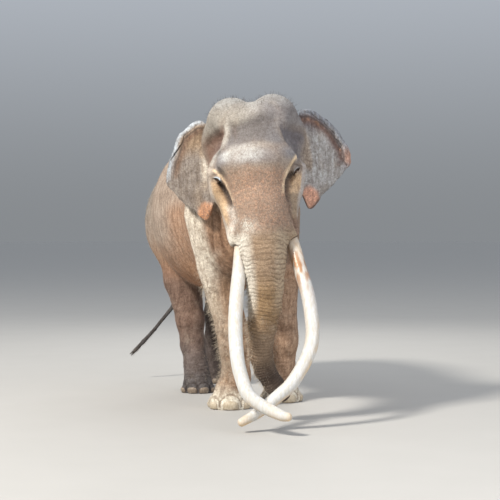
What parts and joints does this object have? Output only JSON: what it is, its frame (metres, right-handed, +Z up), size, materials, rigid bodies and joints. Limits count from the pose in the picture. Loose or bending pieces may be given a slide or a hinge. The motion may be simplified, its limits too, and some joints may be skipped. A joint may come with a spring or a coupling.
{
  "type": "asian bull elephant",
  "caption": "Life-size still model of a standing bull Asian elephant, trunk hanging almost to the ground and long tusks crossing in front of it.",
  "frame": {"origin": "centre of the bounding box on the floor, under the animal", "axes": "+Z up, the animal faces -Y with its right side towards -X; +Y runs back along the body"},
  "size_m": [1.712, 4.6104, 2.9587],
  "materials": {
    "hide": "dry, wrinkled grey-brown skin with pale dust",
    "face_hide": "dry skin, pinkish with dark freckles on the face and trunk",
    "ear_hide": "thin mottled skin, pink towards the lower lobe",
    "ivory": "smooth worn ivory, yellower at the base and the tip",
    "eye": "wet dark brown eye",
    "nail": "dry worn horn, dusty, paler than the skin",
    "tail_tuft": "stiff black hair"
  },
  "bodies": {
    "root": {"ear_left": "ear_hide", "ear_right": "ear_hide", "eye_left": "eye", "eye_right": "eye", "front_left_foot": "hide", "front_left_lower": "hide", "front_left_upper": "hide", "front_right_foot": "hide", "front_right_lower": "hide", "front_right_upper": "hide", "head": "face_hide", "hind_left_foot": "hide", "hind_left_lower": "hide", "hind_left_upper": "hide", "hind_right_foot": "hide", "hind_right_lower": "hide", "hind_right_upper": "hide", "neck": "hide", "tail_base": "hide", "tail_end": "hide", "tail_middle": "hide", "tail_tuft": "tail_tuft", "torso": "hide", "trunk_1": "face_hide", "trunk_2": "face_hide", "trunk_3": "face_hide", "trunk_4": "face_hide", "tusk_left": "ivory", "tusk_right": "ivory"}
  },
  "joints": []
}
